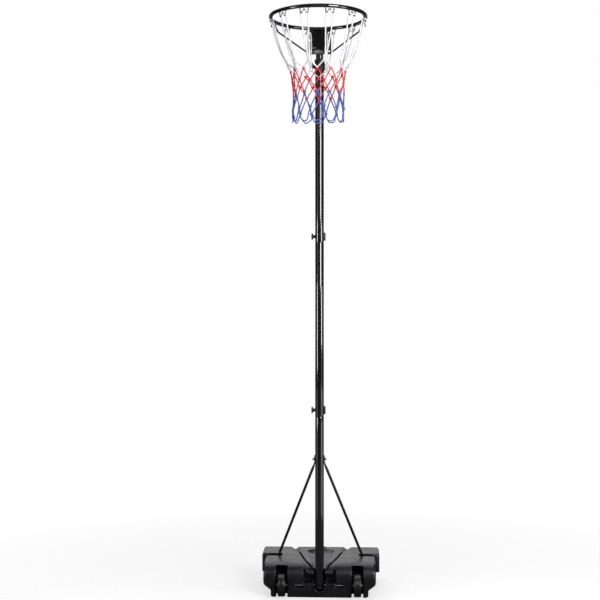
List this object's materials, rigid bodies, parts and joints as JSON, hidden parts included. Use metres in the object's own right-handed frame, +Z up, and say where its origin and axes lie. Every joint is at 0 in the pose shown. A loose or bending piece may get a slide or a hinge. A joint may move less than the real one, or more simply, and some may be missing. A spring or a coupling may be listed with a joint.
{
  "type": "netball post",
  "caption": "Free-standing netball post: telescoping steel pole with hand knobs, a ring with a hanging net, two braces and a wheeled tank base.",
  "frame": {"origin": "on the floor, on the pole's axis and under the wheels' axle", "axes": "+Z up along the pole, -Y towards the ring, +X to the right as seen from the ring's side"},
  "size_m": [0.532, 0.8004, 2.473],
  "materials": {
    "black_gloss_paint": "gloss",
    "zinc_plate": "satin",
    "tank_plastic": "matte",
    "black_plastic": "satin",
    "seal_rubber": "matte",
    "ballast_water": "matte",
    "cord_white": "matte",
    "cord_red": "matte",
    "cord_blue": "matte"
  },
  "bodies": {
    "post": {"base_tank": "tank_plastic", "ballast": "ballast_water", "axle": "zinc_plate", "axle_clip_left": "zinc_plate", "axle_clip_right": "zinc_plate", "brace_left": "black_gloss_paint", "brace_right": "black_gloss_paint", "brace_screw_left": "zinc_plate", "brace_screw_right": "zinc_plate", "foot_cap": "black_plastic", "lower_pole": "black_gloss_paint", "middle_pole": "black_gloss_paint", "upper_pole": "black_gloss_paint", "top_collar": "black_plastic", "lower_bolt": "zinc_plate", "lower_saddle": "black_plastic", "middle_bolt": "zinc_plate", "middle_saddle": "black_plastic", "brace_bolt": "zinc_plate", "brace_nut": "zinc_plate"},
    "hoop": {"inner_pole": "black_gloss_paint", "inner_pole_cap": "black_plastic", "guide_bush": "black_plastic", "hoop_bracket": "black_gloss_paint", "bracket_plate": "black_gloss_paint", "bracket_bolt_upper": "zinc_plate", "bracket_bolt_lower": "zinc_plate", "bracket_nut_upper": "zinc_plate", "bracket_nut_lower": "zinc_plate", "ring": "black_gloss_paint", "ring_brace_left": "black_gloss_paint", "ring_brace_right": "black_gloss_paint", "net_white": "cord_white", "net_red": "cord_red", "net_blue": "cord_blue"},
    "clamp_knob": {"clamp_knob": "black_plastic", "clamp_screw": "zinc_plate"},
    "middle_knob": {"middle_knob": "black_plastic"},
    "lower_knob": {"lower_knob": "black_plastic"},
    "wheel_left": {"wheel_left": "black_plastic"},
    "wheel_right": {"wheel_right": "black_plastic"},
    "cap_seal": {"cap_seal": "seal_rubber"},
    "fill_cap": {"fill_cap": "black_plastic"}
  },
  "joints": [
    {"name": "height_slide", "type": "slide", "parent": "post", "child": "hoop", "axis": [0, 0, 1], "range_m": [0, 0.585]},
    {"name": "clamp_turn", "type": "hinge", "parent": "post", "child": "clamp_knob", "pos_m": [0, 0, 2.308], "axis": [1, 0, 0], "range_deg": [0, 1080]},
    {"name": "middle_turn", "type": "hinge", "parent": "post", "child": "middle_knob", "pos_m": [0, 0, 1.568], "axis": [1, 0, 0], "range_deg": [0, 1080]},
    {"name": "lower_turn", "type": "hinge", "parent": "post", "child": "lower_knob", "pos_m": [0, 0, 0.814], "axis": [1, 0, 0], "range_deg": [0, 1080]},
    {"name": "wheel_left_spin", "type": "hinge", "parent": "post", "child": "wheel_left", "pos_m": [-0.165, 0, 0.052], "axis": [1, 0, 0], "continuous": true},
    {"name": "wheel_right_spin", "type": "hinge", "parent": "post", "child": "wheel_right", "pos_m": [0.165, 0, 0.052], "axis": [1, 0, 0], "continuous": true},
    {"name": "cap_lift", "type": "slide", "parent": "post", "child": "cap_seal", "axis": [0, 0, 1], "range_m": [0, 0.08]},
    {"name": "cap_turn", "type": "hinge", "parent": "cap_seal", "child": "fill_cap", "pos_m": [0, 0.331, 0.1433], "axis": [0, 0, 1], "range_deg": [-720, 0]}
  ]
}
